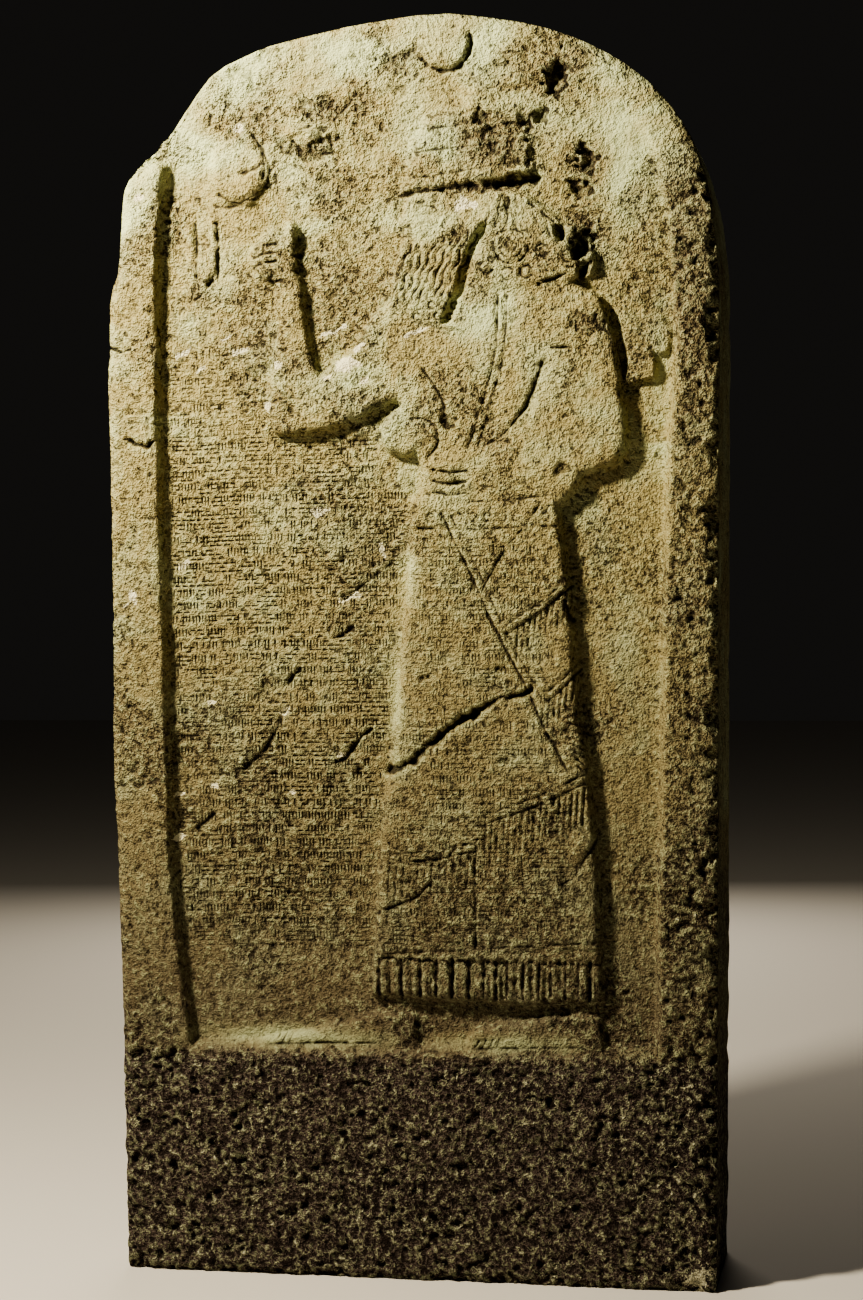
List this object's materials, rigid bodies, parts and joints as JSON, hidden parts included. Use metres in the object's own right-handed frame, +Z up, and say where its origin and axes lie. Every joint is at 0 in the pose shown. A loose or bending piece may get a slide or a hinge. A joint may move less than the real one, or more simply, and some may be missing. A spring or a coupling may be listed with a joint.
{
  "type": "carved round-topped stone stele",
  "caption": "Round-topped limestone stele, free standing: a worn low relief of a robed ruler facing left under sky emblems, with rows of a worn inscription.",
  "frame": {"origin": "middle of the flat underside, on the floor", "axes": "+Z up the height of the slab, +X to a viewer's right across its width, +Y from the carved face through the thickness to the back, so the carved face looks along -Y"},
  "size_m": [0.9498, 0.25, 1.93],
  "materials": {
    "limestone": "weathered, rough and unpolished, with worn carving"
  },
  "bodies": {
    "root": {"stele": "limestone"}
  },
  "joints": []
}
